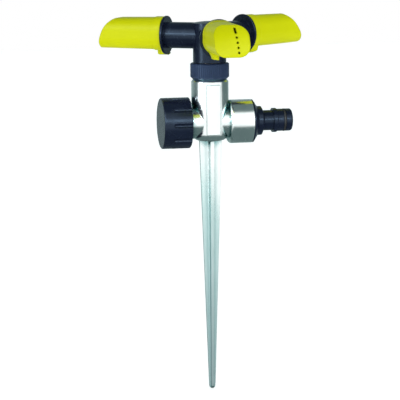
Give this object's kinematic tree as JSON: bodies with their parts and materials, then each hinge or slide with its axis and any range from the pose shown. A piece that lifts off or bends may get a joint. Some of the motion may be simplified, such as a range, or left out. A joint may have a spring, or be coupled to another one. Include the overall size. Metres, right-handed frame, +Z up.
{
  "type": "rotary lawn sprinkler",
  "caption": "Three-arm rotary lawn sprinkler with twist nozzles on a cast metal ground spike.",
  "frame": {"origin": "on the spike's axis at the ground line, where the soil surface meets the driven-in spike", "axes": "+Z up along the spike and the rotor's spin axis; +X along the level barrel, out of the hose connector"},
  "size_m": [0.1456, 0.1266, 0.264],
  "materials": {
    "cast_zinc": "polished",
    "black_plastic": "gloss",
    "yellow_plastic": "gloss",
    "brass": "satin",
    "white_bearing_plastic": "satin",
    "seal_rubber": "matte"
  },
  "bodies": {
    "base": {"spike_casting": "cast_zinc", "bearing_sleeve": "white_bearing_plastic", "sleeve_gasket": "seal_rubber", "lower_thrust_washer": "white_bearing_plastic", "upper_thrust_washer": "white_bearing_plastic", "retaining_nut": "black_plastic", "hose_connector": "black_plastic", "connector_gasket": "seal_rubber", "connector_oring": "seal_rubber"},
    "rotor": {"rotor": "black_plastic", "rotor_spindle": "brass", "spindle_oring": "seal_rubber", "nozzle_oring_1": "seal_rubber", "nozzle_oring_2": "seal_rubber", "nozzle_oring_3": "seal_rubber"},
    "nozzle_1": {"nozzle_1": "yellow_plastic"},
    "nozzle_2": {"nozzle_2": "yellow_plastic"},
    "nozzle_3": {"nozzle_3": "yellow_plastic"},
    "cap_gasket": {"end_cap_gasket": "seal_rubber"},
    "end_cap": {"end_cap": "black_plastic"}
  },
  "joints": [
    {"name": "rotor_spin", "type": "hinge", "parent": "base", "child": "rotor", "pos_m": [0, 0, 0.08405], "axis": [0, 0, 1], "continuous": true},
    {"name": "nozzle_twist_1", "type": "hinge", "parent": "rotor", "child": "nozzle_1", "pos_m": [0.03464, 0.02, 0.08405], "axis": [0.866, 0.5, 0], "range_deg": [-37, 53]},
    {"name": "nozzle_twist_2", "type": "hinge", "parent": "rotor", "child": "nozzle_2", "pos_m": [-0.03464, 0.02, 0.08405], "axis": [-0.866, 0.5, 0], "range_deg": [-43, 47]},
    {"name": "nozzle_twist_3", "type": "hinge", "parent": "rotor", "child": "nozzle_3", "pos_m": [0, -0.04, 0.08405], "axis": [0, -1, 0], "range_deg": [-45, 45]},
    {"name": "cap_travel", "type": "slide", "parent": "base", "child": "cap_gasket", "axis": [-1, 0, 0], "range_m": [0, 0.00816]},
    {"name": "cap_turn", "type": "hinge", "parent": "cap_gasket", "child": "end_cap", "pos_m": [-0.025, 0, 0.024], "axis": [-1, 0, 0], "range_deg": [0, 1621]}
  ],
  "couplings": [
    {"joint": "cap_turn", "follows": "cap_travel", "rad_per_m": 3463.7}
  ]
}
